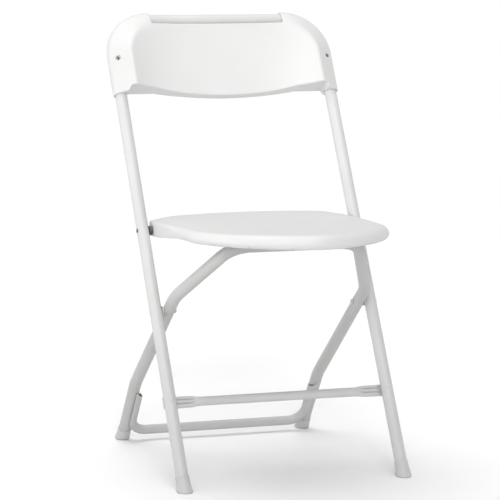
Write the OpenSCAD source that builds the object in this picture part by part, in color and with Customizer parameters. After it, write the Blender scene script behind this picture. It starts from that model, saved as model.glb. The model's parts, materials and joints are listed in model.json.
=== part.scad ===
// Folding chair with a bent steel tube frame and a moulded plastic seat and back.
//
// The front frame is one inverted U of tube that leans back. The rear leg frame is a
// second U, pinned to it at the crossing. The seat is pinned to the front frame and
// rides on the cross bar of the rear leg frame through two shoes under the seat.
// +X is the sitter's left, -Y is the way the chair faces, +Z is up, and the origin is
// on the floor under the middle of the chair.

/* [Front frame] */
// Outer diameter of the main tubes
tube_d = 22.2; // [20:0.2:24]
// Wall of every tube
tube_wall = 1.2; // [1:0.1:1.6]
// Distance between the axes of the two front legs
front_track = 415.2; // [410:0.2:425]
// Lean of the front legs from the vertical, in degrees
lean = 30.3; // [29:0.1:31.5]
// Height of the axis of the tube's top bar above the floor
top_bar_h = 791.4; // [780:0.2:800]
// Bend radius of the top corners, at the tube's axis
top_bend_r = 74; // [65:1:80]
// Height of the seat pivot above the floor
seat_pivot_h = 426; // [420:0.5:432]
// Height of the leg pivot above the floor
leg_pivot_h = 292; // [286:0.5:298]

/* [Front cross bar] */
// Outer diameter of the cross bar and of the rear brace
bar_d = 17.5; // [17:0.5:20]
// Height of the cross bar above the floor
bar_h = 140; // [130:1:150]
// Height of the bar's flattened ends
bar_flat_h = 24; // [22:0.5:27]
// Thickness of the bar's flattened ends
bar_flat_t = 3; // [2.6:0.1:3.4]

/* [Rear legs] */
// Distance between the axes of the two rear legs
rear_track = 366; // [362:0.5:367]
// Lean of the rear legs from the vertical above their lower bend, in degrees
leg_lean = 48.7; // [48:0.1:49.4]
// Lean of the rear legs from the vertical below their lower bend, in degrees
foot_lean = 33.3; // [32:0.1:35]
// Distance from the leg pivot down to the lower bend
lower_bend_at = 256; // [250:1:262]
// Distance from the leg pivot up to the inward bend
inward_bend_at = 45; // [40:1:55]
// Angle of the inward bend, in degrees
inward_deg = 22.5; // [20:0.5:24]
// Distance from the leg pivot up to the cross bar under the seat
slide_bar_at = 202.5; // [200:0.5:205]

/* [Rear brace] */
// Height of the brace's bar above the floor
brace_h = 20; // [18:0.5:26]
// Height at which the brace's arms end
brace_top_h = 103; // [95:1:108]
// Bend radius of the brace's corners, at the tube's axis
brace_bend_r = 32; // [28:1:38]

/* [Seat] */
// Width of the seat at the pivots
seat_w = 382; // [378:1:383]
// Depth of the seat from its rear edge to its front edge
seat_depth = 385; // [375:1:395]
// Distance from the seat pivot back to the rear corners of the seat
seat_back = 21; // [16:1:26]
// Rise of the seat towards the front, in degrees
seat_tilt = 1.1; // [0:0.1:2]
// Height of the top of the seat's sides above the pivot
seat_top = 21; // [18:0.5:24]
// Extra height of the middle of the seat
seat_crown = 5; // [3:0.5:7]
// Thickness of the seat's panel and skirt
seat_wall = 3.8; // [3:0.1:4.5]

/* [Backrest] */
// Height of the lower end of the backrest's sleeves above the floor
back_low_h = 659; // [650:1:668]
// Wall of the backrest shell
back_wall = 3.2; // [2.8:0.1:3.6]
// Width of the notch in the middle of the backrest's top edge
notch_w = 262; // [240:1:262]
// How far the ridge on each side of the backrest stands in front of the tube's axis
back_ridge = 35; // [30:1:38]
// Drop of the middle of the backrest's lower edge
back_dip = 12; // [6:1:14]

/* [Feet] */
// Length of a foot cap along its leg
foot_len = 28.5; // [26:0.5:38]
// Outer diameter of a foot cap at its upper rim
foot_top_d = 25.4; // [24.8:0.2:27]
// Outer diameter of a foot cap at the floor
foot_low_d = 29; // [27:0.5:29]

/* [Hidden] */

$fn = 48;
tube_r = tube_d / 2;
bar_r = bar_d / 2;
fit_gap = 0.05;       // radial gap of a pin in its hole
safe_gap = 0.3;       // gap between pieces that don't grip each other
over = 1;             // how far a cutter runs past the face it cuts
bend_lap = 0.5;       // how far a straight runs into a bend
bend_thin = 0.02;     // how much thinner a bend is than its straights

// The chair's middle, front to back, lies this far behind the front feet.
middle_y = 181;

// The front frame's plane: X across, Z up along the legs, Y square to it towards the rear.
front_x = front_track / 2;
top_t = top_bar_h / cos(lean);
seat_pivot_t = seat_pivot_h / cos(lean);
leg_pivot_t = leg_pivot_h / cos(lean);
seat_pivot_y = seat_pivot_h * tan(lean) - middle_y;
leg_pivot_y = leg_pivot_h * tan(lean) - middle_y;
front_tube_end = 12;  // the tube stops this far above the floor, measured along the leg

// The cross bar sits behind the front legs.
bar_back = tube_r + bar_flat_t / 2;
bar_t = (bar_h + bar_back * sin(lean)) / cos(lean);
bar_round_x = 143;    // the bar is round out to here
bar_flat_x = 168;     // and flat from here on
bar_end_x = front_x + 7;
bar_rivet_r = 3;
bar_rivet_head_r = 5.2;

// The rear leg frame's plane has its origin at the leg pivot and Z up along the legs.
rear_x = rear_track / 2;
corner_bend_r = 50;
inward_bend_r = 90;
lower_bend_r = 80;
slide_bar_corner_x = rear_x - (slide_bar_at - inward_bend_at) * tan(inward_deg);
corner_deg = 90 - inward_deg;
lower_deg = leg_lean - foot_lean;
lower_bend_h = leg_pivot_h - lower_bend_at * cos(leg_lean);
lower_bend_y = leg_pivot_y + lower_bend_at * sin(leg_lean);
rear_foot_y = lower_bend_y + lower_bend_h * tan(foot_lean);

// The rear brace's arms lie against the inner front side of the legs.
brace_in = 7.5;
brace_forward = 7.5;
brace_x = rear_x - brace_in;
brace_bar_up = brace_h / cos(foot_lean) + brace_forward * tan(foot_lean);
brace_arm_len = (brace_top_h - brace_h) / cos(foot_lean);
brace_end_slope = 40;

// Rivets
rivet_r = 4;
rivet_head_r = 6;
rivet_head_h = 2.6;
front_out_x = front_x + tube_r;
front_in_x = front_x - tube_r;
rear_out_x = rear_x + tube_r;
rear_in_x = rear_x - tube_r;
seat_half = seat_w / 2;
bracket_t = 2.5;
bracket_front = 46;   // the plate reaches this far in front of the pivot
bracket_rear = 8;
bracket_screw_places = [18, 38];

// The seat's frame has its origin at the seat pivot, -Y forward and Z up.
seat_front = seat_depth - seat_back;
seat_bow = 6;         // the rear edge bulges back this far in the middle
seat_taper = 0.02;    // each side closes in by this much for each unit forward
bracket_out_x = seat_half - seat_wall - seat_taper * (bracket_front + seat_back) - 0.1;
bracket_in_x = bracket_out_x - bracket_t;
front_round = 168;    // depth of the rounded front of the seat
front_power = 1.67;   // superellipse power of the front's outline
rear_corner_r = 9;
front_steps = 22;
corner_steps = 6;
bow_steps = 6;
crown_r = (pow(seat_half, 2) + pow(seat_crown, 2)) / (2 * seat_crown);
edge_drop = 6;        // height of the seat's rounded rim
edge_in = 5;          // how far the rim rounds in
panel_top = seat_top + seat_crown;
rim_low = seat_top - edge_drop;
skirt_low_rear = -10; // lower edge of the skirt at the rear, from the pivot
skirt_low_front = 1;
skirt_rise_at = 150;
rib_low = 9;
rib_t = 2.4;

// The slide bar's place in the seat's frame when the chair is open, and when it is folded.
slide_bar_y = leg_pivot_y - slide_bar_at * sin(leg_lean);
slide_bar_h = leg_pivot_h + slide_bar_at * cos(leg_lean);
open_dy = seat_pivot_y - slide_bar_y;
open_dz = slide_bar_h - seat_pivot_h;
open_u = open_dy * cos(seat_tilt) + open_dz * sin(seat_tilt);
open_v = open_dz * cos(seat_tilt) - open_dy * sin(seat_tilt);
shut_u = 49.3;
shut_v = -25.9;
track_deg = atan2(open_v - shut_v, open_u - shut_u);
track_len = norm([open_u - shut_u, open_v - shut_v]);

// Guide channels and their shoes
guide_x = 62;
channel_w = 24;
channel_h = 8;
channel_t = 1.5;
slot_w = 13;
channel_low = tube_r + 3.4;   // from the slide bar's axis up to the channel's lips
channel_run = 24.5;           // the channel runs on past each end of the slide bar's travel
channel_screw_in = 4.5;       // from each end of the channel to its screw
shoe_head_w = channel_w - 2 * channel_t - 0.6;
shoe_head_h = channel_h - 2 * channel_t - 0.6;
shoe_neck_w = slot_w - 1;
shoe_len = 30;
shoe_w = 22;
shoe_low = 5;                 // the shoe starts this far above the slide bar's axis
saddle_gap = 2.4;             // side play of the slide bar in its shoe
screw_r = 2;
screw_head_r = 4.2;

// Backrest
back_low_t = back_low_h / cos(lean);
back_r = tube_r + safe_gap + back_wall;
back_bend_t = top_t - top_bend_r;
notch_t = top_t - tube_r - 2.5;
back_panel_t = back_low_t + 8.7;  // the panel's lower edge is above the sleeves' ends
back_dip_x = 140;     // the dip of the lower edge is this wide on each side
back_ridge_x = 185;   // the ridges' distance from the middle
back_middle = 10;     // the middle of the hollow is this far in front of the tube's axis
back_curve = 3.5;     // power of the hollow's curve, which is nearly flat in the middle
back_side_y = 18.2;   // where the panel's front meets the tube's axis
hollow_steps = 24;
back_screw_t = 719 / cos(lean);
arc_steps = 16;

white = [0.93, 0.93, 0.92];
coat = [0.88, 0.88, 0.87];
steel = [0.66, 0.67, 0.68];
nylon = [0.82, 0.82, 0.80];

// ---- Placement ---------------------------------------------------------------------

module front_plane() {
    translate([0, -middle_y, 0]) rotate([-lean, 0, 0]) children();
}

module leg_plane() {
    translate([0, leg_pivot_y, leg_pivot_h]) rotate([leg_lean, 0, 0]) children();
}

module foot_plane() {
    translate([0, rear_foot_y, 0]) rotate([foot_lean, 0, 0]) children();
}

module seat_frame() {
    translate([0, seat_pivot_y, seat_pivot_h]) rotate([-seat_tilt, 0, 0]) children();
}

// The track's frame: origin at the open slide bar, -Y forward along the track, Z up.
module track_in_seat() {
    translate([0, -open_u, open_v]) rotate([-track_deg, 0, 0]) children();
}

module track_frame() {
    seat_frame() track_in_seat() children();
}

module both_sides() {
    children();
    mirror([1, 0, 0]) children();
}

// A cylinder along X between two places
module x_rod(x0, x1, r) {
    translate([x0, 0, 0]) rotate([0, 90, 0]) cylinder(h = x1 - x0, r = r);
}

// ---- Bent tube ---------------------------------------------------------------------

// Follows a rod's path along +Z. Each step is [straight length, bend angle, bend radius,
// side], and side turns the bend's direction about the rod, 0 being towards +X. Straights
// lap a little way into the bends, which are a hair thinner, so that they join cleanly.
module rod_run(steps, r, i = 0) {
    if (i < len(steps)) {
        length = steps[i][0];
        angle = steps[i][1];
        bend_r = steps[i][2];
        side = steps[i][3];
        lap_start = i > 0 ? bend_lap : 0;
        lap_end = i < len(steps) - 1 ? bend_lap : 0;
        translate([0, 0, -lap_start]) cylinder(h = length + lap_start + lap_end, r = r);
        translate([0, 0, length]) rotate([0, 0, side]) {
            if (angle > 0) rod_bend(angle, bend_r, r - bend_thin);
            translate([bend_r * (1 - cos(angle)), 0, bend_r * sin(angle)])
                rotate([0, angle, 0])
                rotate([0, 0, -side])
                rod_run(steps, r, i + 1);
        }
    }
}

module rod_bend(angle, bend_r, r) {
    translate([bend_r, 0, 0])
        rotate([90, 0, 180])
        rotate_extrude(angle = angle, $fn = 96)
        translate([bend_r, 0])
        circle(r = r);
}

// Half of the front frame's path, from the middle of the top bar down to the floor
function front_half(half_bar, leg_len) = [
    [half_bar, 90, top_bend_r, 0],
    [leg_len, 0, 0, 0]];

module front_path(r, low_t) {
    both_sides()
        translate([0, 0, top_t])
        rotate([0, 90, 0])
        rod_run(front_half(front_x - top_bend_r, back_bend_t - low_t), r);
}

// ---- Front frame -------------------------------------------------------------------

module front_frame_tube() {
    color(coat) front_plane() difference() {
        front_path(tube_r, front_tube_end);
        front_path(tube_r - tube_wall, front_tube_end - over);
        translate([0, 0, seat_pivot_t]) pin_holes(front_in_x, front_out_x);
        translate([0, 0, leg_pivot_t]) pin_holes(front_in_x, front_out_x);
        both_sides() translate([front_x, 0, bar_t]) cross_hole(bar_rivet_r + fit_gap);
        both_sides() translate([front_x, -tube_r, back_screw_t])
            rotate([90, 0, 0])
            cylinder(h = 3 * tube_wall, r = screw_r + fit_gap, center = true);
    }
}

module pin_holes(x0, x1) {
    both_sides() x_rod(x0 - over, x1 + over, rivet_r + fit_gap);
}

module cross_hole(r) {
    rotate([90, 0, 0]) cylinder(h = 2 * tube_d, r = r, center = true);
}

module front_cross_bar() {
    color(coat) front_plane() translate([0, bar_back, bar_t]) difference() {
        union() {
            x_rod(-bar_round_x, bar_round_x, bar_r);
            both_sides() bar_end();
        }
        x_rod(-bar_round_x, bar_round_x, bar_r - tube_wall);
        both_sides() translate([front_x, 0, 0]) cross_hole(bar_rivet_r + fit_gap);
    }
}

module bar_end() {
    hull() {
        x_rod(bar_round_x, bar_round_x + 0.5, bar_r, $fn = 32);
        translate([bar_flat_x, -bar_flat_t / 2, -bar_flat_h / 2])
            cube([1, bar_flat_t, bar_flat_h]);
    }
    translate([bar_flat_x, -bar_flat_t / 2, -bar_flat_h / 2])
        cube([bar_end_x - bar_flat_x, bar_flat_t, bar_flat_h]);
}

module cross_bar_rivets() {
    color(steel) front_plane() both_sides() translate([front_x, 0, bar_t]) {
        plate_back = bar_back + bar_flat_t / 2;
        rotate([-90, 0, 0]) {
            translate([0, 0, -tube_r]) cylinder(h = tube_r + plate_back, r = bar_rivet_r);
            translate([0, 0, plate_back]) cylinder(h = 1.6, r = bar_rivet_head_r);
            translate([0, 0, -tube_r]) mirror([0, 0, 1]) domed_head(bar_rivet_head_r, 2.2);
        }
    }
}

// A domed head that stands on z = 0
module domed_head(r, h) {
    dome_r = (r * r + h * h) / (2 * h);
    intersection() {
        cylinder(h = h, r = r);
        translate([0, 0, h - dome_r]) sphere(r = dome_r, $fn = 96);
    }
}

module foot_cap() {
    bore_floor = 9;
    rim_h = 3;
    difference() {
        rotate_extrude() polygon([
            [0, -foot_low_d],
            [foot_low_d / 2, -foot_low_d],
            [foot_low_d / 2, 6],
            [foot_top_d / 2 + 0.2, foot_len - rim_h],
            [foot_top_d / 2, foot_len],
            [0, foot_len]]);
        translate([0, 0, bore_floor]) cylinder(h = foot_len, r = tube_r + fit_gap);
    }
}

module above_floor() {
    reach = 2000;
    difference() {
        children();
        translate([-reach / 2, -reach / 2, -reach / 2]) cube([reach, reach, reach / 2]);
    }
}

module front_foot(x) {
    color(white) above_floor() front_plane() translate([x, 0, 0]) foot_cap();
}

// ---- Pivots ------------------------------------------------------------------------

// A rivet along +X: its domed head outside, its rolled tail inside
module pivot_rivet(tail_x) {
    tail_h = 2.4;
    x_rod(tail_x, front_out_x, rivet_r);
    translate([front_out_x, 0, 0]) rotate([0, 90, 0]) domed_head(rivet_head_r, rivet_head_h);
    x_rod(tail_x - tail_h, tail_x, rivet_head_r);
}

module spacer(x0, x1, r) {
    difference() {
        x_rod(x0, x1, r);
        x_rod(x0 - over, x1 + over, rivet_r + fit_gap);
    }
}

module seat_rivet() {
    color(steel) front_plane() translate([0, 0, seat_pivot_t])
        pivot_rivet(bracket_in_x - safe_gap);
}

module seat_spacer() {
    color(steel) front_plane() translate([0, 0, seat_pivot_t])
        spacer(seat_half + safe_gap, front_in_x - 0.1, 8.5);
}

module leg_rivet() {
    color(steel) front_plane() translate([0, 0, leg_pivot_t])
        pivot_rivet(rear_in_x - safe_gap);
}

module leg_spacer() {
    color(steel) front_plane() translate([0, 0, leg_pivot_t])
        spacer(rear_out_x + safe_gap, front_in_x - 0.1, 8);
}

// ---- Rear leg frame ----------------------------------------------------------------

function leg_half() =
    let (
        corner_cut = corner_bend_r * tan(corner_deg / 2),
        inward_cut = inward_bend_r * tan(inward_deg / 2),
        lower_cut = lower_bend_r * tan(lower_deg / 2),
        slant = (slide_bar_at - inward_bend_at) / cos(inward_deg),
        foot_run = lower_bend_h / cos(foot_lean))
    [
        [slide_bar_corner_x - corner_cut, corner_deg, corner_bend_r, 0],
        [slant - corner_cut - inward_cut, inward_deg, inward_bend_r, 0],
        [inward_bend_at + lower_bend_at - inward_cut - lower_cut, lower_deg, lower_bend_r, -90],
        [foot_run - lower_cut - front_tube_end, 0, 0, 0]];

function leg_half_past(extra) =
    let (half = leg_half(), last = half[3])
    [half[0], half[1], half[2], [last[0] + extra, 0, 0, 0]];

module leg_path(r, extra) {
    both_sides()
        translate([0, 0, slide_bar_at])
        rotate([0, 90, 0])
        rod_run(leg_half_past(extra), r);
}

module rear_leg_tube() {
    color(coat) leg_plane() difference() {
        leg_path(tube_r, 0);
        leg_path(tube_r - tube_wall, over);
        pin_holes(rear_in_x, rear_out_x);
    }
}

module brace_path(r) {
    corner_x = brace_x - brace_bend_r;
    translate([0, -brace_forward, brace_bar_up]) {
        x_rod(-corner_x, corner_x, r);
        both_sides() {
            translate([corner_x, 0, brace_bend_r])
                rotate([90, 0, 0])
                rotate([0, 0, -90])
                rotate_extrude(angle = 90, $fn = 96)
                translate([brace_bend_r, 0])
                circle(r = r);
            translate([brace_x, 0, brace_bend_r]) cylinder(h = brace_arm_len, r = r);
        }
    }
}

// The side of the brace where the rear legs lie, cut off flat a gap away from them
module leg_side(gap) {
    toward_arm = -atan2(brace_in, brace_forward);
    both_sides() translate([rear_x, 0, 0]) rotate([0, 0, toward_arm])
        translate([-2 * bar_d, -tube_r - gap, 0])
        cube([4 * bar_d, 2 * tube_d, 2 * brace_arm_len]);
}

// The brace is one U of tube. Its arms are pressed flat against the legs, and their ends
// are cut to a slope.
module rear_brace() {
    color(coat) foot_plane() difference() {
        brace_path(bar_r);
        leg_side(fit_gap);
        difference() {
            brace_path(bar_r - tube_wall);
            leg_side(fit_gap + tube_wall);
        }
        both_sides()
            translate([brace_x, -brace_forward, brace_bar_up + brace_arm_len])
            rotate([0, -brace_end_slope, 0])
            translate([0, 0, 2 * bar_d])
            cube([8 * bar_d, 3 * bar_d, 4 * bar_d], center = true);
    }
}

module rear_foot(x) {
    color(white) above_floor() foot_plane() translate([x, 0, 0]) foot_cap();
}

// ---- Seat --------------------------------------------------------------------------

// Half width of the seat, u forward of the pivot
function side_x(u, inset) = seat_half - seat_taper * (u + seat_back) - inset;

// One side of the seat's outline, from the middle of the front to the middle of the rear
function seat_side(inset) =
    let (
        round_u = seat_front - front_round,
        corner_r = max(rear_corner_r - inset, 4),
        corner_u = -seat_back + inset + corner_r,
        corner_x = side_x(-seat_back, inset) - corner_r)
    concat(
        [for (i = [0:front_steps])
            let (
                a = 90 * i / front_steps,
                u = round_u + (front_round - inset) * pow(cos(a), 2 / front_power))
            [side_x(u, inset) * pow(sin(a), 2 / front_power), -u]],
        [for (i = [0:corner_steps])
            let (a = 90 * i / corner_steps)
            [corner_x + corner_r * cos(a), -corner_u + corner_r * sin(a)]],
        [for (i = [1:bow_steps])
            let (x = corner_x * (1 - i / bow_steps))
            [x, seat_back - inset + seat_bow * (1 - pow(x / corner_x, 2))]]);

function seat_outline(inset) =
    let (side = seat_side(inset), n = len(side))
    concat(side, [for (i = [n - 2:-1:1]) [-side[i][0], side[i][1]]]);

module seat_slice(z, h, inset) {
    translate([0, 0, z]) linear_extrude(h) polygon(seat_outline(inset));
}

// Everything below the crowned surface whose middle is at height z
module crown_block(z) {
    translate([0, 0, z - crown_r])
        rotate([90, 0, 0])
        cylinder(h = 3 * seat_depth, r = crown_r, center = true, $fn = 240);
}

// Side view of the skirt: deep at the rear, shallow at the front
module skirt_profile() {
    rotate([90, 0, 90])
        translate([0, 0, -seat_w])
        linear_extrude(2 * seat_w)
        polygon([
            [2 * seat_back, skirt_low_rear],
            [2 * seat_back, 3 * seat_top],
            [-seat_depth, 3 * seat_top],
            [-seat_depth, skirt_low_front],
            [-skirt_rise_at, skirt_low_front],
            [-seat_back / 2, skirt_low_rear]]);
}

// The crowned panel and its rim, solid
module seat_block() {
    intersection() {
        hull() {
            seat_slice(rim_low, 0.5, 0);
            seat_slice(panel_top - 0.5, 0.5, edge_in);
        }
        crown_block(panel_top);
    }
    intersection() {
        seat_slice(2 * skirt_low_rear, rim_low - 2 * skirt_low_rear, 0);
        skirt_profile();
    }
}

module seat_inside() {
    seat_slice(3 * skirt_low_rear, rim_low - 3 * skirt_low_rear, seat_wall);
    intersection() {
        seat_slice(rim_low - over, panel_top - rim_low, seat_wall + edge_in);
        crown_block(panel_top - seat_wall);
    }
}

module seat_ribs() {
    difference() {
        intersection() {
            seat_slice(rib_low, panel_top - rib_low - 1, seat_wall - 0.2);
            union() {
                for (u = [60, 130, 200, 270, 320]) translate([-seat_half, -u, rib_low])
                    cube([seat_w, rib_t, seat_top]);
                for (x = [-140, -100, -24, 24, 100, 140]) translate([x, -seat_front, rib_low])
                    cube([rib_t, seat_front - 40, seat_top]);
            }
            crown_block(panel_top - seat_wall / 2);
        }
        for (x = [-guide_x, guide_x]) track_in_seat()
            translate([x - channel_w / 2 - over, -channel_run - over, 0])
            cube([channel_w + 2 * over, track_len + 2 * (channel_run + over),
                channel_low + channel_h + safe_gap]);
    }
}

// The screws stand just past each end of the shoes' travel.
function channel_screw_places() =
    [-channel_run + channel_screw_in, track_len + channel_run - channel_screw_in];

// Pads that the guide channels are screwed to, cut to the channels' slope
module channel_pads() {
    pad_len = 2 * channel_screw_in;
    for (x = [-guide_x, guide_x]) for (along = channel_screw_places())
        intersection() {
            track_in_seat() translate([x - channel_w / 2, along - pad_len / 2,
                channel_low + channel_h]) cube([channel_w, pad_len, 2 * seat_top]);
            crown_block(panel_top - seat_wall / 2);
        }
}

module seat_shell() {
    color(white) seat_frame() difference() {
        union() {
            difference() {
                seat_block();
                seat_inside();
            }
            seat_ribs();
            channel_pads();
        }
        pin_clear = 0.6;
        both_sides() x_rod(seat_half - 3 * seat_wall, seat_half + over, rivet_r + pin_clear);
    }
}

// Steel plate inside the skirt that takes the seat's pivot
module seat_bracket() {
    plate_low = -8;
    plate_top = seat_top - seat_wall - 9.5;
    color(steel) seat_frame() difference() {
        translate([bracket_in_x, -bracket_front, plate_low])
            cube([bracket_t, bracket_front + bracket_rear, plate_top - plate_low]);
        x_rod(bracket_in_x - over, bracket_out_x + over, rivet_r + fit_gap);
        for (u = bracket_screw_places) translate([0, -u, 4])
            x_rod(bracket_in_x - over, bracket_out_x + over, screw_r + fit_gap);
    }
}

module bracket_screws() {
    grip = 3;
    color(steel) seat_frame() both_sides() for (u = bracket_screw_places)
        translate([0, -u, 4]) {
            x_rod(bracket_in_x, bracket_out_x + grip, screw_r);
            translate([bracket_in_x, 0, 0]) rotate([0, -90, 0]) domed_head(screw_head_r, 1.8);
        }
}

// ---- Guides and shoes --------------------------------------------------------------

module guide_channel(x) {
    color(steel) track_frame() translate([x, 0, channel_low]) difference() {
        translate([-channel_w / 2, -channel_run, 0])
            cube([channel_w, track_len + 2 * channel_run, channel_h]);
        translate([-channel_w / 2 + channel_t, -channel_run - over, channel_t])
            cube([channel_w - 2 * channel_t, track_len + 2 * channel_run + 2 * over,
                channel_h - 2 * channel_t]);
        translate([-slot_w / 2, -channel_run - over, -over])
            cube([slot_w, track_len + 2 * channel_run + 2 * over, channel_t + 2 * over]);
        for (along = channel_screw_places()) translate([0, along, channel_h])
            cylinder(h = 3 * channel_t, r = screw_r + fit_gap, center = true);
    }
}

module channel_screws() {
    grip = 4;
    color(steel) track_frame() for (x = [-guide_x, guide_x])
        for (along = channel_screw_places())
            translate([x, along, channel_low + channel_h - channel_t]) {
                cylinder(h = channel_t + grip, r = screw_r);
                mirror([0, 0, 1]) domed_head(screw_head_r, 1.8);
            }
}

// A shoe slides in its channel and straddles the slide bar from above.
module slide_shoe(x) {
    head_z = channel_low + channel_t + safe_gap;
    body_top = channel_low - 0.6;
    color(nylon) track_frame() translate([x, 0, 0]) {
        translate([-shoe_head_w / 2, -shoe_len / 2, head_z])
            cube([shoe_head_w, shoe_len, shoe_head_h]);
        translate([-shoe_neck_w / 2, -shoe_len / 2, body_top - over])
            cube([shoe_neck_w, shoe_len, head_z - body_top + over]);
        difference() {
            translate([-shoe_w / 2, -shoe_len / 2, shoe_low])
                cube([shoe_w, shoe_len, body_top - shoe_low]);
            saddle();
        }
    }
}

module saddle() {
    for (side = [-1, 1]) translate([0, side * saddle_gap / 2, 0])
        x_rod(-shoe_w, shoe_w, tube_r + safe_gap);
    translate([-shoe_w, -saddle_gap / 2, 0]) cube([2 * shoe_w, saddle_gap, tube_r + safe_gap]);
}

// ---- Backrest ----------------------------------------------------------------------

function arc(cx, cz, r, a0, a1) = [for (i = [0:arc_steps])
    let (a = a0 + (a1 - a0) * i / arc_steps) [cx + r * cos(a), cz + r * sin(a)]];

// Outline of the backrest's panel inside the tube's axis, less an inset
function back_outline(inset, low_t) =
    let (
        side = front_x - inset,
        bend_x = front_x - top_bend_r,
        bend_r = top_bend_r - inset,
        half_notch = notch_w / 2,
        dip_r = (pow(back_dip_x, 2) + pow(back_dip, 2)) / (2 * back_dip),
        dip_a = asin(back_dip_x / dip_r))
    concat(
        [[side, low_t]],
        arc(bend_x, back_bend_t, bend_r, 0, 90),
        [[half_notch - inset / 2, top_t - inset], [half_notch - inset, notch_t - inset],
         [-half_notch + inset, notch_t - inset], [-half_notch + inset / 2, top_t - inset]],
        arc(-bend_x, back_bend_t, bend_r, 90, 180),
        [[-side, low_t]],
        arc(0, low_t - back_dip + dip_r, dip_r, 270 - dip_a, 270 + dip_a));

module back_slab(inset, low_t, front, rear) {
    translate([0, rear, 0])
        rotate([90, 0, 0])
        linear_extrude(rear - front)
        polygon(back_outline(inset, low_t));
}

// Section of the backrest across the tubes: ridges at the sides and a hollow between them,
// less an inset of its front and rear
function back_section(inset) = concat(
    [[front_x, back_r - inset], [front_x, -back_side_y + inset]],
    [for (i = [-hollow_steps:hollow_steps])
        let (x = -back_ridge_x * i / hollow_steps)
        [x, inset - back_middle
            - (back_ridge - back_middle) * pow(abs(x) / back_ridge_x, back_curve)]],
    [[-front_x, -back_side_y + inset], [-front_x, back_r - inset]]);

module back_body(inset, outline_inset, low_t) {
    intersection() {
        back_slab(outline_inset, low_t, -2 * back_ridge, 2 * back_r);
        linear_extrude(2 * top_t) polygon(back_section(inset));
    }
}

module backrest_shell() {
    color(white) front_plane() difference() {
        union() {
            front_sleeves();
            back_body(0, 0, back_panel_t);
        }
        back_body(back_wall, tube_r + 2 * back_wall, back_panel_t + back_wall);
        front_path(tube_r + safe_gap, back_low_t - over);
        both_sides() translate([front_x, 0, back_screw_t]) rotate([90, 0, 0]) {
            cylinder(h = back_side_y, r = screw_r + fit_gap);
            translate([0, 0, back_r]) cylinder(h = back_side_y, r = screw_head_r + 0.5);
        }
    }
}

// Sleeves round the tube: up each side, round the corner, to the notch
module front_sleeves() {
    difference() {
        front_path(back_r, back_low_t);
        translate([-notch_w / 2, -tube_d, notch_t - over]) cube([notch_w, 2 * tube_d, 2 * tube_d]);
    }
}

module backrest_screws() {
    head_h = 1.4;
    color(steel) front_plane() both_sides()
        translate([front_x, -back_r, back_screw_t])
        rotate([-90, 0, 0]) {
            cylinder(h = back_wall + safe_gap + tube_wall + 2, r = screw_r);
            mirror([0, 0, 1]) difference() {
                domed_head(screw_head_r, head_h);
                for (turn = [0, 90]) rotate([0, 0, turn])
                    translate([0, 0, head_h]) cube([5, 0.9, 1.4], center = true);
            }
        }
}

// ---- Nodes -------------------------------------------------------------------------

front_frame_tube();
front_cross_bar();
cross_bar_rivets();
backrest_shell();
backrest_screws();
front_foot(front_x);  // front_foot_left
front_foot(-front_x);  // front_foot_right
seat_rivet();  // seat_rivet_left
mirror([1, 0, 0]) seat_rivet();  // seat_rivet_right
seat_spacer();  // seat_spacer_left
mirror([1, 0, 0]) seat_spacer();  // seat_spacer_right
leg_rivet();  // leg_rivet_left
mirror([1, 0, 0]) leg_rivet();  // leg_rivet_right
leg_spacer();  // leg_spacer_left
mirror([1, 0, 0]) leg_spacer();  // leg_spacer_right
rear_leg_tube();
rear_brace();
rear_foot(rear_x);  // rear_foot_left
rear_foot(-rear_x);  // rear_foot_right
seat_shell();
seat_bracket();  // seat_bracket_left
mirror([1, 0, 0]) seat_bracket();  // seat_bracket_right
bracket_screws();
guide_channel(guide_x);  // guide_channel_left
guide_channel(-guide_x);  // guide_channel_right
channel_screws();
slide_shoe(guide_x);  // slide_shoe_left
slide_shoe(-guide_x);  // slide_shoe_right
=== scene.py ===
"""White folding chair: moulded plastic seat and backrest on a powder coated steel tube frame.

The moulded pieces are worked out in millimetres, each in its own plane of the chair, as the
surface where a distance field is zero. Their places come from the frame's joints and mounts.
"""

import json
import math

import bpy
import numpy as np
from mathutils import Matrix, Vector


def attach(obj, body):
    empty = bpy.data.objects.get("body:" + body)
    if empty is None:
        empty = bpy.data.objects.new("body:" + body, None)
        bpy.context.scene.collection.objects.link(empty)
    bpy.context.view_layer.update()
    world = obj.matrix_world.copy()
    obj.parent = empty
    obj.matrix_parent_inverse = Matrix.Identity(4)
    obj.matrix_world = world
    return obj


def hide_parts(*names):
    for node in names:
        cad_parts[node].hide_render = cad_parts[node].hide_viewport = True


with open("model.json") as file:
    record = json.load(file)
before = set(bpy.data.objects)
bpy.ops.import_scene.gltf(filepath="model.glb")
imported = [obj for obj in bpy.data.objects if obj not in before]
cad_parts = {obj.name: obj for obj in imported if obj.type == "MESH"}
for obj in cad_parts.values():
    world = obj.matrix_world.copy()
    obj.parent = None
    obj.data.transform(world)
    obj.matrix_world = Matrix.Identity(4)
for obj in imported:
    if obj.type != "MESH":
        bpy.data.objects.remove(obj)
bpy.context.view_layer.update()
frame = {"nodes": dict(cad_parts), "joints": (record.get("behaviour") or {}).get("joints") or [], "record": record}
nodes = frame["nodes"]
joints = {joint["name"]: joint for joint in frame["joints"]}
mounts = {mount["name"]: mount for mount in frame["record"]["mounts"]}

# ---- Places in the chair ---------------------------------------------------------------

METRES = 0.001
SEAT_TILT = math.radians(1.1)
FOOT_LEAN = math.radians(33.3)      # of the rear legs' lower ends

seat_pivot = Vector(joints["seat_fold"]["pos_m"])
leg_pivot = Vector(joints["leg_fold"]["pos_m"])
front_foot = Vector(mounts["front_foot_left_floor"]["pos_m"])
rear_foot = Vector(mounts["rear_foot_left_floor"]["pos_m"])
FRONT_LEAN = math.atan2(seat_pivot.y - front_foot.y, seat_pivot.z)


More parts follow.
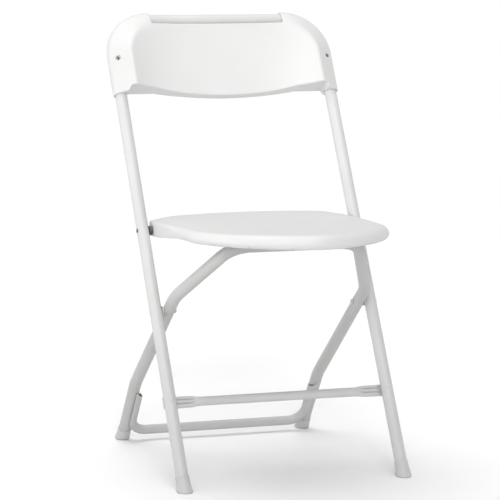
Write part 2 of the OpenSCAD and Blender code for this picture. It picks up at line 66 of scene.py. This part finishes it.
def plane(y, z, lean):
    """Millimetres in a plane that leans back by an angle, to metres in the chair's frame."""
    turned = Matrix.Rotation(-lean, 4, "X")
    return Matrix.Translation((0, y, z)) @ turned @ Matrix.Scale(METRES, 4)


front_plane = plane(front_foot.y, 0, FRONT_LEAN)
seat_plane = plane(seat_pivot.y, seat_pivot.z, SEAT_TILT)
foot_plane = plane(rear_foot.y, 0, -FOOT_LEAN)

TUBE_R = 11.1
FRONT_X = front_foot.x / METRES
REAR_X = rear_foot.x / METRES
FIT = 0.3

# ---- Distance fields -------------------------------------------------------------------


def smooth_max(a, b, width):
    """The larger of two fields, blended over a width."""
    near = np.maximum(width - np.abs(a - b), 0) / width
    return np.maximum(a, b) + near * near * width / 4


def smooth_min(a, b, width):
    return -smooth_max(-a, -b, width)


def round_max(a, b, radius):
    """The larger of two fields, with a round of that radius where they cross."""
    far = np.hypot(np.maximum(a + radius, 0), np.maximum(b + radius, 0))
    return np.minimum(np.maximum(a, b) + radius, 0) + far - radius


def smooth_step(low, high, value):
    share = np.clip((value - low) / (high - low), 0, 1)
    return share * share * (3 - 2 * share)


def box_field(x, y, z, low, high):
    """The larger of a box's six face distances."""
    sides = [np.maximum(lo - v, v - hi) for v, lo, hi in zip((x, y, z), low, high)]
    return np.maximum(np.maximum(sides[0], sides[1]), sides[2])


def surface_net(field, low, high, step):
    """Points and quads of the closed surface where field is zero, negative inside."""
    axes = [np.arange(lo - 2 * step, hi + 3 * step, step) for lo, hi in zip(low, high)]
    grid = np.stack(np.meshgrid(*axes, indexing="ij"), -1)
    values = field(grid.reshape(-1, 3)).reshape(grid.shape[:3])
    inside = values < 0
    size = np.array(inside.shape)
    corners = [(i, j, k) for i in (0, 1) for j in (0, 1) for k in (0, 1)]

    def at_corner(array, corner):
        return array[tuple(slice(c, n - 1 + c) for c, n in zip(corner, size))]

    count = sum(at_corner(inside, c).astype(np.int8) for c in corners)
    active = (count > 0) & (count < 8)
    at = {c: at_corner(values, c)[active] for c in corners}
    total = np.zeros((active.sum(), 3))
    crossings = np.zeros(active.sum())
    for a in corners:
        for axis in range(3):
            if a[axis]:
                continue
            b = tuple(1 if n == axis else c for n, c in enumerate(a))
            crosses = (at[a] < 0) != (at[b] < 0)
            share = np.where(crosses, at[a] / np.where(crosses, at[a] - at[b], 1), 0)
            place = np.array(a, float) + share[:, None] * (np.array(b) - np.array(a))
            total += np.where(crosses[:, None], place, 0)
            crossings += crosses
    first = np.array([axis[0] for axis in axes])
    points = first + (np.argwhere(active) + total / crossings[:, None]) * step
    index = np.full(active.shape, -1)
    index[active] = np.arange(active.sum())
    faces = []
    for axis in range(3):
        order = (axis, (axis + 1) % 3, (axis + 2) % 3)
        solid = inside.transpose(order)
        cells = index.transpose(order)
        start = solid[:-1, 1:-1, 1:-1]
        crosses = start != solid[1:, 1:-1, 1:-1]
        i, j, k = np.nonzero(crosses)
        quad = np.stack([cells[i, j, k], cells[i, j + 1, k], cells[i, j + 1, k + 1], cells[i, j, k + 1]], 1)
        out = start[crosses]
        faces.append(quad[out])
        faces.append(quad[~out][:, ::-1])
    return settle(points, field, step), np.concatenate(faces)


def settle(points, field, step):
    """Moves points onto the field's zero, along its slope."""
    reach = 0.05
    for _ in range(3):
        value = field(points)
        slope = np.stack([(field(points + d) - field(points - d)) / (2 * reach)
            for d in np.eye(3) * reach], 1)
        square = np.maximum((slope**2).sum(1), 0.05)
        move = slope * (value / square)[:, None]
        length = np.maximum(np.linalg.norm(move, axis=1), 1e-9)
        points = points - move * np.minimum(1, 0.5 * step / length)[:, None]
    return points


def mesh_piece(name, points, faces, place):
    """A smooth mesh object of points and quads, moved into the chair's frame."""
    mesh = bpy.data.meshes.new(name)
    mesh.from_pydata(points.tolist(), [], [tuple(face) for face in faces])
    mesh.transform(place)
    mesh.polygons.foreach_set("use_smooth", np.ones(len(mesh.polygons), bool))
    mesh.update()
    piece = bpy.data.objects.new(name, mesh)
    bpy.context.scene.collection.objects.link(piece)
    return piece


# ---- Materials -------------------------------------------------------------------------


def add_node(tree, kind, **inputs):
    node = tree.nodes.new(kind)
    for name, value in inputs.items():
        node.inputs[name.replace("_", " ")].default_value = value
    return node


def noise(tree, scale, detail=2.0, rough=0.5):
    """Noise in the piece's own space, scale in features per metre."""
    coordinates = tree.nodes.new("ShaderNodeTexCoord")
    texture = add_node(tree, "ShaderNodeTexNoise", Scale=scale, Detail=detail, Roughness=rough)
    tree.links.new(coordinates.outputs["Object"], texture.inputs["Vector"])
    return texture.outputs["Fac"]


NOISE_RANGE = (0.3, 0.7)  # nearly all of the noise lies between these


def spread(tree, value, start, end, low, high):
    """Maps a value from start to end onto low to high."""
    node = add_node(tree, "ShaderNodeMapRange", From_Min=start, From_Max=end, To_Min=low, To_Max=high)
    tree.links.new(value, node.inputs["Value"])
    return node.outputs["Result"]


def ramp(tree, value, low, high):
    """Maps noise onto low to high, numbers or colours."""
    if isinstance(low, (int, float)):
        return spread(tree, value, *NOISE_RANGE, low, high)
    node = tree.nodes.new("ShaderNodeValToRGB")
    tree.links.new(value, node.inputs["Fac"])
    for element, position, colour in zip(node.color_ramp.elements, NOISE_RANGE, (low, high)):
        element.position = position
        element.color = (*colour, 1)
    return node.outputs["Color"]


def surface(name, colours, patch, roughness, grain, grain_depth, metallic=0.0, coat=0.0):
    """A finish: two near colours in soft patches, uneven gloss, and a fine grain of bump."""
    material = bpy.data.materials.new(name)
    material.use_nodes = True
    tree = material.node_tree
    shader = tree.nodes["Principled BSDF"]
    shader.inputs["Metallic"].default_value = metallic
    shader.inputs["Coat Weight"].default_value = coat
    shader.inputs["Coat Roughness"].default_value = 0.2
    patches = noise(tree, patch, 3.0)
    tree.links.new(ramp(tree, patches, *colours), shader.inputs["Base Color"])
    tree.links.new(ramp(tree, noise(tree, 3 * patch, 4.0), *roughness), shader.inputs["Roughness"])
    bump = add_node(tree, "ShaderNodeBump", Strength=0.35, Distance=grain_depth)
    tree.links.new(noise(tree, grain, 2.0), bump.inputs["Height"])
    tree.links.new(bump.outputs["Normal"], shader.inputs["Normal"])
    return material


def grey(value, warm=0.0):
    return (value, value, value - warm)


# These greys suit this studio's light. Real white paint and plastic are lighter, near 0.8.
# The rear frame's coat is a greyer copy of the front's white coat, as painted shade for the rear legs, which stand
# further back in less light.
front_coat = surface("front_coat", (grey(0.545, 0.004), grey(0.575, 0.004)), 9, (0.36, 0.46),
    900, 0.00012, coat=0.12)
rear_coat_painted_shade = surface("rear_coat_painted_shade", (grey(0.45, 0.004), grey(0.48, 0.004)), 9, (0.38, 0.48),
    900, 0.00012, coat=0.12)
seat_plastic = surface("seat_plastic", (grey(0.61, 0.004), grey(0.63, 0.004)), 6, (0.42, 0.50),
    2600, 0.00006)
back_plastic = surface("back_plastic", (grey(0.59, 0.004), grey(0.61, 0.004)), 6, (0.40, 0.48),
    2600, 0.00006)
foot_plastic = surface("foot_plastic", (grey(0.51, 0.004), grey(0.55, 0.004)), 25, (0.45, 0.55),
    1500, 0.00008)
nylon = surface("nylon", (grey(0.62, 0.02), grey(0.68, 0.02)), 40, (0.35, 0.45), 1800, 0.00005)
bright_zinc = surface("bright_zinc", (grey(0.50), grey(0.62)), 60, (0.28, 0.46), 1400, 0.00004,
    metallic=1.0)
# Dark zinc for the seat rivets; the seat spacers take it too, as painted shade in the gap beside the front tubes.
rivet_zinc_and_gap_shade = surface("rivet_zinc_and_gap_shade", (grey(0.12), grey(0.17)), 90, (0.32, 0.50), 1600, 0.00004,
    metallic=1.0)
screw_zinc = surface("screw_zinc", (grey(0.20), grey(0.28)), 120, (0.30, 0.45), 2000, 0.00003,
    metallic=1.0)


def paint(piece, material):
    piece.data.materials.clear()
    piece.data.materials.append(material)
    return piece


# ---- Camera, light and floor -----------------------------------------------------------


CAMERA_PLACE = Vector((-1.6333, -4.3649, 1.0732))
CAMERA_TARGET = Vector((-0.0329, -0.0195, 0.3970))
CAMERA_ROLL = math.radians(0.768)
CAMERA_LENS = 187.19


def aimed(place, target):
    """The transform of a camera or lamp at a place that looks at its target."""
    turn = (Vector(target) - Vector(place)).to_track_quat("-Z", "Y").to_matrix().to_4x4()
    return Matrix.Translation(place) @ turn


def make_camera():
    data = bpy.data.cameras.new("camera")
    data.sensor_width = 36
    data.lens = CAMERA_LENS
    data.clip_end = 100
    camera = bpy.data.objects.new("camera", data)
    roll = Matrix.Rotation(CAMERA_ROLL, 4, "Z")
    camera.matrix_world = aimed(CAMERA_PLACE, CAMERA_TARGET) @ roll
    bpy.context.scene.collection.objects.link(camera)
    bpy.context.scene.camera = camera


def make_sun(name, toward, softness, strength):
    """A wide soft light from one direction, even over the whole floor."""
    data = bpy.data.lights.new(name, "SUN")
    data.angle = math.radians(softness)
    data.energy = strength
    light = bpy.data.objects.new(name, data)
    light.matrix_world = Vector(toward).to_track_quat("Z", "Y").to_matrix().to_4x4()
    bpy.context.scene.collection.objects.link(light)


def make_spot(name, place, target, cone, power):
    """A soft spotlight that fades out all the way from its middle to its edge."""
    data = bpy.data.lights.new(name, "SPOT")
    data.shadow_soft_size = 0.5
    data.spot_size = math.radians(cone)
    data.spot_blend = 1
    data.energy = power
    light = bpy.data.objects.new(name, data)
    light.matrix_world = aimed(place, target)
    bpy.context.scene.collection.objects.link(light)


def make_floor():
    half = 40
    mesh = bpy.data.meshes.new("floor")
    corners = [(-half, -half, 0), (half, -half, 0), (half, half, 0), (-half, half, 0)]
    mesh.from_pydata(corners, [], [(0, 1, 2, 3)])
    floor = bpy.data.objects.new("floor", mesh)
    bpy.context.scene.collection.objects.link(floor)
    material = surface("floor_white", (grey(0.90), grey(0.91)), 0.5, (0.75, 0.85), 40, 0.0001)
    material.node_tree.nodes["Principled BSDF"].inputs["Specular IOR Level"].default_value = 0.1
    paint(floor, material)


def make_world(behind, ahead):
    """A plain studio: white at the horizon, pale behind the chair, dimmer in front of it."""
    world = bpy.data.worlds.new("studio")
    world.use_nodes = True
    tree = world.node_tree
    coordinates = tree.nodes.new("ShaderNodeTexCoord")
    split = tree.nodes.new("ShaderNodeSeparateXYZ")
    tree.links.new(coordinates.outputs["Generated"], split.inputs["Vector"])
    # The strength is 1 near the horizon, and above it goes with the direction's Y.
    most = tree.nodes.new("ShaderNodeMath")
    most.operation = "MAXIMUM"
    tree.links.new(spread(tree, split.outputs["Y"], -0.5, 0.4, ahead, behind), most.inputs[0])
    tree.links.new(spread(tree, split.outputs["Z"], 0.1, 0.2, 1, 0), most.inputs[1])
    tree.links.new(most.outputs["Value"], tree.nodes["Background"].inputs["Strength"])
    tree.nodes["Background"].inputs["Color"].default_value = (1, 1, 1, 1)
    bpy.context.scene.world = world


make_camera()
make_floor()
make_world(0.55, 0.3)
make_sun("key", (-0.4, -1.2, 0.8), 35, 1.0)
make_sun("top", (-0.1, 0.1, 1), 60, 1.65)
make_spot("upper", (-0.6, -2.7, 1.9), (0, 0.05, 0.74), 22, 210)
make_spot("side", (-2.8, -0.3, 0.9), (0, 0, 0.66), 22, 190)
bpy.context.scene.view_settings.view_transform = "Standard"

# ---- Backrest --------------------------------------------------------------------------

BACK_R = 14.6             # outer radius of the sleeves round the tube
TOP_T = 791.4 / math.cos(FRONT_LEAN)
BEND_R = 74
BACK_LOW_T = 659 / math.cos(FRONT_LEAN)
BEND_X = FRONT_X - BEND_R
BEND_T = TOP_T - BEND_R
NOTCH_X = 131
NOTCH_T = TOP_T - TUBE_R - 2.5
RIDGE_X = 185
RIDGE_Y = 35              # the two side ridges stand this far forward
RIDGE_POWER = 3.5
HOLLOW_Y = 4              # the hollow's middle at its lower edge
HOLLOW_RISE = 12          # and how much further forward it is at its top
HOLLOW_H = 145
PANEL_UP = 8.7            # the panel's lower edge is this far above the sleeves' ends
DIP = 12
DIP_X = 140
SCREW_T = 719 / math.cos(FRONT_LEAN)
SCREW_SEAT_R = 4.7
SIDE_SLOPE = math.radians(36.6)
TOP_SLOPE = math.radians(18.7)
FRONT_BLEND = 5
SLEEVE_END = 9            # the lower edge turns from the sleeves' to the panel's
PANEL_START = 16          # between these distances inside the tube's axis
EDGE_ROUND = 2.2
NOTCH_BLEND = 1.6
BACK_STEP = 1.6


def from_tube(x, t):
    """Distance outwards from the axis of the front frame's U."""
    out_x = x - BEND_X
    out_t = t - BEND_T
    far = np.hypot(np.maximum(out_x, 0), np.maximum(out_t, 0))
    return np.minimum(np.maximum(out_x, out_t), 0) + far - BEND_R


def backrest_field(p):
    x, y, t = np.abs(p[:, 0]), p[:, 1], p[:, 2]
    c = from_tube(x, t)
    turn = np.arctan2(np.maximum(t - BEND_T, 0), np.maximum(x - BEND_X, 1e-6)) / (math.pi / 2)
    slope = SIDE_SLOPE + (TOP_SLOPE - SIDE_SLOPE) * turn
    round_sleeve = np.hypot(np.maximum(c, 0), y) - BACK_R
    wing = c * np.sin(slope) - y * np.cos(slope) - BACK_R
    wing = np.maximum(np.maximum(wing, y), c - BACK_R * np.sin(slope))
    body = np.minimum(round_sleeve, wing)
    middle = HOLLOW_Y + HOLLOW_RISE * (t - BACK_LOW_T) / HOLLOW_H
    front = -middle - (RIDGE_Y - middle) * (x / RIDGE_X) ** RIDGE_POWER
    body = smooth_max(body, front - y, FRONT_BLEND)
    panel_low = BACK_LOW_T + PANEL_UP - DIP * np.maximum(1 - (x / DIP_X) ** 2, 0)
    low = BACK_LOW_T + (panel_low - BACK_LOW_T) * smooth_step(SLEEVE_END, PANEL_START, -c)
    body = round_max(body, low - t, EDGE_ROUND)
    body = smooth_max(body, np.minimum(NOTCH_X - x, t - NOTCH_T), NOTCH_BLEND)
    body = smooth_max(body, TUBE_R + FIT - np.hypot(c, y), 1)
    recess = np.maximum(np.hypot(x - FRONT_X, t - SCREW_T) - SCREW_SEAT_R, y + BACK_R)
    return smooth_max(body, -recess, 0.8)


def make_backrest():
    low = (-FRONT_X - BACK_R, -RIDGE_Y - 3, BACK_LOW_T - 4)
    high = (FRONT_X + BACK_R, BACK_R, TOP_T + BACK_R)
    points, faces = surface_net(backrest_field, low, high, BACK_STEP)
    piece = mesh_piece("moulded_backrest", points, faces, front_plane)
    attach(piece, "frame")
    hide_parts("backrest_shell")
    return paint(piece, back_plastic)


# ---- Seat ------------------------------------------------------------------------------

SEAT_HALF = 191
SEAT_FRONT = 364
SEAT_BACK = 21
SEAT_BOW = 6
SEAT_TAPER = 0.02
FRONT_ROUND = 168
FRONT_POWER = 1.67
REAR_CORNER_R = 9
SEAT_TOP = 26
CROWN_R = 3650
CORNER_DROP = 4.5         # the rear corners of the top are this much lower
CORNER_FROM_X = 140
CORNER_TO_U = 170
SIDE_ROUND = 3            # the top edge's radius at the rear
FRONT_EXTRA_ROUND = 12    # and how much more it is at the front
FRONT_FROM_U = 40         # it grows between these
FRONT_TO_U = 230
SKIRT_LOW = -10           # the skirt's lower edge at the pivot
SKIRT_RISE = 11
SKIRT_RUN = 160
TUCK = 0.05               # how fast the front's skirt draws in
WALL = 3.8
RIB_LOW = 9
RIB_HALF = 1.2
RIB_ROWS = (61, 131, 201, 271, 321)
RIB_COLUMNS = (25, 101, 141)
RIB_START = 40
PIVOT_R = 4.6
PIVOT_DEPTH = 20
PIVOT_RING_R = 9          # a fine groove in the side walls round the pivot
PIVOT_RING_HALF = 0.8
INNER_BLEND = 1.2
SKIRT_ROUND = 1.5
RIB_BLEND = 2.5
PAD_BLEND = 1.5
RING_BLEND = 0.4
HOLE_BLEND = 0.8
SEAT_STEP = 2.1
GUIDE_X = 62
CHANNEL_HALF = 12


def seat_outline(x, u):
    """Distance outwards from the seat's outline, u forward of the pivot."""
    half = SEAT_HALF - SEAT_TAPER * (u + SEAT_BACK)
    across = np.maximum(x / half, 1e-6)
    forward = np.maximum(u - (SEAT_FRONT - FRONT_ROUND), 0) / FRONT_ROUND
    total = across**FRONT_POWER + forward**FRONT_POWER
    reach = total ** (1 / FRONT_POWER)
    push = total ** (1 / FRONT_POWER - 1)
    slope_x = push * across ** (FRONT_POWER - 1) / half
    slope_u = push * forward ** (FRONT_POWER - 1) / FRONT_ROUND
    side = (reach - 1) / np.hypot(slope_x, slope_u)
    corner_x = SEAT_HALF - REAR_CORNER_R
    rear = -u - SEAT_BACK - SEAT_BOW * np.maximum(1 - (x / corner_x) ** 2, 0)
    return round_max(side, rear, REAR_CORNER_R)


def seat_field(p):
    x, u, v = np.abs(p[:, 0]), -p[:, 1], p[:, 2]
    forward = smooth_step(FRONT_FROM_U, FRONT_TO_U, u)
    low = SKIRT_LOW + SKIRT_RISE * smooth_step(0, SKIRT_RUN, u)
    tuck = TUCK * forward * np.maximum(low - SKIRT_LOW - v, 0) ** 2
    edge = seat_outline(x, u) + tuck
    drop = CORNER_DROP * smooth_step(CORNER_FROM_X, SEAT_HALF, x) * np.clip(1 - u / CORNER_TO_U, 0, 1)
    top = v - (SEAT_TOP - x * x / (2 * CROWN_R) - drop)
    solid = round_max(edge, top, SIDE_ROUND + FRONT_EXTRA_ROUND * forward)
    shell = smooth_max(solid, -solid - WALL, INNER_BLEND)
    shell = round_max(shell, low - v, SKIRT_ROUND)
    ribs = np.full_like(x, 1e3)
    for place in RIB_ROWS:
        ribs = np.minimum(ribs, np.abs(u - place) - RIB_HALF)
    for place in RIB_COLUMNS:
        ribs = np.minimum(ribs, np.maximum(np.abs(x - place) - RIB_HALF, RIB_START - u))
    ribs = np.maximum(np.maximum(ribs, RIB_LOW - v), solid + WALL / 2)
    ribs = np.maximum(ribs, -channel_room(p))
    shell = smooth_min(shell, ribs, RIB_BLEND)
    shell = smooth_min(shell, pads(p, solid), PAD_BLEND)
    ring = np.hypot(np.hypot(u, v) - PIVOT_RING_R, edge) - PIVOT_RING_HALF
    shell = smooth_max(shell, -ring, RING_BLEND)
    hole = np.maximum(np.hypot(u, v) - PIVOT_R, SEAT_HALF - PIVOT_DEPTH - x)
    return smooth_max(shell, -hole, HOLE_BLEND)


slide_axis = Vector(joints["shoe_slide"]["axis"])
track_len = joints["shoe_slide"]["range_m"][1] / METRES
TRACK_ANGLE = math.atan2(-slide_axis.z, slide_axis.y) - SEAT_TILT
OPEN_U = 230.39           # the slide bar's place when the chair is open
OPEN_V = -4.77
CHANNEL_LOW = TUBE_R + 3.4
CHANNEL_H = 8
CHANNEL_RUN = 24.5
SCREW_IN = 4.5


def along_track(p):
    """A seat point in the track's frame: along it to the rear, and up from it."""
    y = p[:, 1] + OPEN_U
    v = p[:, 2] - OPEN_V
    cos, sin = math.cos(TRACK_ANGLE), math.sin(TRACK_ANGLE)
    return y * cos - v * sin, y * sin + v * cos


def channel_room(p):
    along, up = along_track(p)
    low = (GUIDE_X - CHANNEL_HALF - 1, -CHANNEL_RUN - 1, 0)
    high = (GUIDE_X + CHANNEL_HALF + 1, track_len + CHANNEL_RUN + 1, CHANNEL_LOW + CHANNEL_H + FIT)
    return box_field(np.abs(p[:, 0]), along, up, low, high)


def pads(p, solid):
    """The four pads that the guide channels are screwed to."""
    along, up = along_track(p)
    found = np.full_like(up, 1e3)
    for place in (-CHANNEL_RUN + SCREW_IN, track_len + CHANNEL_RUN - SCREW_IN):
        low = (GUIDE_X - CHANNEL_HALF + 1, place - SCREW_IN, CHANNEL_LOW + CHANNEL_H + 0.1)
        high = (GUIDE_X + CHANNEL_HALF - 1, place + SCREW_IN, 90)
        found = np.minimum(found, box_field(np.abs(p[:, 0]), along, up, low, high))
    return np.maximum(found, solid + WALL / 2)


def make_seat():
    low = (-SEAT_HALF, -SEAT_FRONT, SKIRT_LOW - 1)
    high = (SEAT_HALF, SEAT_BACK + SEAT_BOW, SEAT_TOP)
    points, faces = surface_net(seat_field, low, high, SEAT_STEP)
    piece = mesh_piece("moulded_seat", points, faces, seat_plane)
    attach(piece, "seat")
    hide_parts("seat_shell")
    return paint(piece, seat_plastic)


make_backrest()
make_seat()

# ---- Cross bar -------------------------------------------------------------------------

BAR_H = 140               # the rivets' height above the floor
BAR_R = 8.2
PLATE_HALF_H = 11
PLATE_HALF_T = 1.5
BAR_BACK = TUBE_R + PLATE_HALF_T
RIVET_T = (BAR_H + BAR_BACK * math.sin(FRONT_LEAN)) / math.cos(FRONT_LEAN)
RIVET_HOLE_R = 3.1
BAR_T = RIVET_T - 1       # the bar's middle is a little below its rivets
BAR_END_X = 217
BAR_ROUND_X = 143
FLAT_X = 174
FLUTE = 3.2               # the flat ends are pressed into three ridges this deep
FLUTE_FROM_X = 151
FLUTE_FULL_X = 170
FLUTE_LAST_X = 191        # they fade from here on, to clear the front tube
FLUTE_END_X = 198
GROOVE_T = 3.5
GROOVE_HALF = 1.0
OUTER_RIDGE_T = 8
BAR_END_ROUND = 1.2
BAR_STEP = 0.7


def cross_bar_field(p):
    """A round tube whose ends are pressed flat, with two grooves between three ridges."""
    x, y, t = np.abs(p[:, 0]), p[:, 1] - BAR_BACK, p[:, 2] - BAR_T
    flat = smooth_step(BAR_ROUND_X, FLAT_X, x)
    thick = BAR_R + (PLATE_HALF_T - BAR_R) * flat
    tall = BAR_R + (PLATE_HALF_H - BAR_R) * flat
    fluted = smooth_step(FLUTE_FROM_X, FLUTE_FULL_X, x)
    fluted = fluted * (1 - smooth_step(FLUTE_LAST_X, FLUTE_END_X, x))
    groove = np.exp(-(((np.abs(t) - GROOVE_T) / GROOVE_HALF) ** 2))
    edge = smooth_step(OUTER_RIDGE_T, PLATE_HALF_H, np.abs(t))
    wave = FLUTE * fluted * (1 - np.maximum(groove, edge))
    section = np.hypot(y + wave, np.maximum(np.abs(t) - (tall - thick), 0)) - thick
    body = round_max(section, x - BAR_END_X, BAR_END_ROUND)
    hole = np.hypot(x - FRONT_X, p[:, 2] - RIVET_T) - RIVET_HOLE_R
    return np.maximum(body, -hole)


def make_cross_bar():
    low = (-BAR_END_X, BAR_BACK - BAR_R, BAR_T - PLATE_HALF_H)
    high = (BAR_END_X, BAR_BACK + BAR_R, BAR_T + PLATE_HALF_H)
    points, faces = surface_net(cross_bar_field, low, high, BAR_STEP)
    piece = mesh_piece("fluted_cross_bar", points, faces, front_plane)
    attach(piece, "frame")
    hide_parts("front_cross_bar")
    return paint(piece, front_coat)


# ---- Foot caps -------------------------------------------------------------------------

CAP_LEN = 28.5
CAP_TOP_R = 12.3
CAP_LOW_R = 14.5
CAP_FLOOR = 9
CAP_FLARE = 24.5          # the flare starts this far up the leg
CAP_POWER = 1.6
CAP_BORE_R = TUBE_R + 0.15
CAP_FLOOR_ROUND = 3.2
CAP_TOP_ROUND = 0.5
CAP_REACH = 12            # how far a leaning cap reaches down past its leg's foot point
CAP_STEP = 0.75


def cap_field(lean, side):
    """A cap whose leg leans by an angle, flat on the floor."""
    def field(p):
        x, y, t = p[:, 0] - side, p[:, 1], p[:, 2]
        height = t * math.cos(lean) - y * math.sin(lean)
        share = np.clip(1 - t / CAP_FLARE, 0, 1)
        radius = CAP_TOP_R + (CAP_LOW_R - CAP_TOP_R) * share**CAP_POWER
        around = np.hypot(x, y)
        body = round_max(around - radius, -height, CAP_FLOOR_ROUND)
        body = round_max(body, t - CAP_LEN, CAP_TOP_ROUND)
        bore = np.maximum(around - CAP_BORE_R, CAP_FLOOR - t)
        return np.maximum(body, -bore)
    return field


def make_cap(name, node, body, place, lean, side):
    low = (side - CAP_LOW_R, -CAP_LOW_R, -CAP_REACH)
    high = (side + CAP_LOW_R, CAP_LOW_R, CAP_LEN)
    points, faces = surface_net(cap_field(lean, side), low, high, CAP_STEP)
    piece = mesh_piece(name, points, faces, place)
    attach(piece, body)
    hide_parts(node)
    return paint(piece, foot_plastic)


SIDES = ((1, "left"), (-1, "right"))

make_cross_bar()
for side, word in SIDES:
    make_cap("front_cap_" + word, "front_foot_" + word, "frame", front_plane, FRONT_LEAN, side * FRONT_X)
    make_cap("rear_cap_" + word, "rear_foot_" + word, "rear_legs", foot_plane, -FOOT_LEAN, side * REAR_X)

# ---- Pivot rivets ----------------------------------------------------------------------

PIN_R = 4
HEAD_R = 5.2
HEAD_H = 1.5
HEAD_SUNK = 0.7           # the head's rim lies this far inside the tube's side
TAIL_STEM = 1.1
TAIL_ROLL = 1.1
TAIL_HOLE_R = 2.1
HEAD_STEPS = 8
ROLL_STEPS = 6


def rivet_profile(tail_x, out_x):
    """Radius and place along X of a rivet, from its rolled tail to its shallow head."""
    ball = (HEAD_R**2 + HEAD_H**2) / (2 * HEAD_H)
    rim_x = out_x - HEAD_SUNK
    head = []
    for step in range(HEAD_STEPS + 1):
        r = HEAD_R * (1 - step / HEAD_STEPS)
        head.append((r, rim_x + HEAD_H - ball + math.sqrt(ball * ball - r * r)))
    roll_x = tail_x - TAIL_STEM
    middle = (TAIL_HOLE_R + HEAD_R) / 2
    half = (HEAD_R - TAIL_HOLE_R) / 2
    tail = [(0, tail_x - 0.1), (TAIL_HOLE_R, tail_x), (TAIL_HOLE_R, roll_x)]
    for step in range(ROLL_STEPS + 1):
        turn = math.pi * step / ROLL_STEPS
        tail.append((middle - half * math.cos(turn), roll_x - TAIL_ROLL * math.sin(turn)))
    return tail + [(HEAD_R, tail_x), (PIN_R, tail_x + 0.1), (PIN_R, rim_x), *head]


def turned(name, profile, place, side, around=40):
    """A closed surface turned about X, the last and first points on the axis."""
    inner = profile[1:-1]
    points = [(profile[0][1] * side, 0, 0), (profile[-1][1] * side, 0, 0)]
    for r, x in inner:
        for step in range(around):
            turn = 2 * math.pi * step / around
            points.append((x * side, r * math.cos(turn), r * math.sin(turn) * side))
    faces = []
    for step in range(around):
        after = (step + 1) % around
        faces.append((0, 2 + after, 2 + step))
        last = 2 + (len(inner) - 1) * around
        faces.append((1, last + step, last + after))
        for ring in range(len(inner) - 1):
            a = 2 + ring * around
            b = a + around
            faces.append((a + step, a + after, b + after, b + step))
    return mesh_piece(name, np.array(points), np.array(faces, dtype=object), place)


def make_pin(name, node, pivot, tail_x, side, finish):
    place = Matrix.Translation(pivot) @ Matrix.Scale(METRES, 4)
    pin = turned(name, rivet_profile(tail_x, FRONT_X + TUBE_R), place, side)
    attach(pin, "frame")
    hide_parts(node)
    return paint(pin, finish)


SEAT_TAIL_X = 183
LEG_TAIL_X = REAR_X - TUBE_R - 0.3
for side, word in SIDES:
    make_pin("seat_pin_" + word, "seat_rivet_" + word, seat_pivot, SEAT_TAIL_X, side, rivet_zinc_and_gap_shade)
    make_pin("leg_pin_" + word, "leg_rivet_" + word, leg_pivot, LEG_TAIL_X, side, front_coat)

# ---- Pieces carried over from the frame ------------------------------------------------

FINISHES = {
    front_coat: ("front_frame_tube", "cross_bar_rivets", "leg_spacer_left", "leg_spacer_right"),
    # The rear legs and brace take the greyer copy of the coat, as painted shade.
    rear_coat_painted_shade: ("rear_leg_tube", "rear_brace"),
    nylon: ("slide_shoe_left", "slide_shoe_right"),
    bright_zinc: ("guide_channel_left", "guide_channel_right", "seat_bracket_left", "seat_bracket_right"),
    # The seat spacers take the dark rivet zinc as painted shade for the gap between the seat and the front tubes.
    rivet_zinc_and_gap_shade: ("seat_spacer_left", "seat_spacer_right"),
    screw_zinc: ("backrest_screws", "bracket_screws", "channel_screws"),
}
for material, names in FINISHES.items():
    for name in names:
        paint(nodes[name], material)
